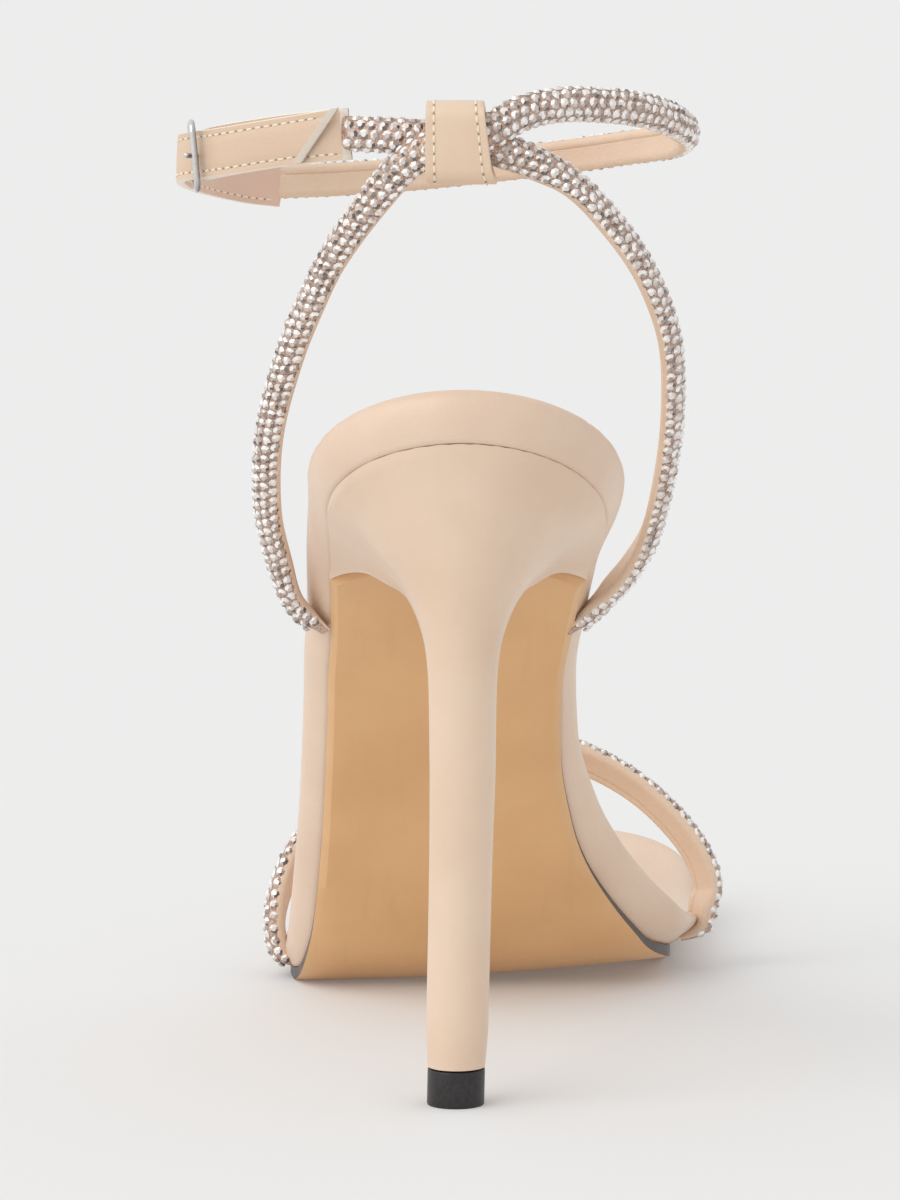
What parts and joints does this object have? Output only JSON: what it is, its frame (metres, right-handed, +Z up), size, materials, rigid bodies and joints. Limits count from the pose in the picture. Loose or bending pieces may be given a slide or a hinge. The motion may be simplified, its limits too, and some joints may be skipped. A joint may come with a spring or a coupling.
{
  "type": "strappy heeled sandal",
  "caption": "Left high-heeled sandal with a slender heel, a padded footbed, a studded toe strap and studded straps that cross behind the ankle and buckle at the outer side.",
  "frame": {"origin": "on the floor, under the middle of the shoe's box", "axes": "+Y from heel to toe, +X to the inner side of the foot, +Z up; the shoe stands on its heel tip and forefoot"},
  "size_m": [0.0966, 0.2084, 0.1749],
  "materials": {
    "insole": "smooth nude leather over padding",
    "outsole": "burnished tan sole leather",
    "heel": "smooth nude leather glued over a moulded heel",
    "top_lift": "black, semi-gloss",
    "toe_strap": "padded strap set with small clear stones",
    "ankle_straps": "padded strap set with small clear stones",
    "keeper": "smooth nude leather, stitched",
    "billet": "smooth nude leather, stitched",
    "buckle_tab": "smooth nude leather, stitched",
    "buckle_frame": "polished silver-coloured wire",
    "buckle_prong": "polished silver-coloured wire"
  },
  "bodies": {
    "root": {"insole": "insole", "outsole": "outsole", "heel": "heel", "top_lift": "top_lift", "toe_strap": "toe_strap", "ankle_straps": "ankle_straps", "keeper": "keeper", "billet": "billet", "buckle_tab": "buckle_tab", "buckle_frame": "buckle_frame", "buckle_prong": "buckle_prong"}
  },
  "joints": []
}
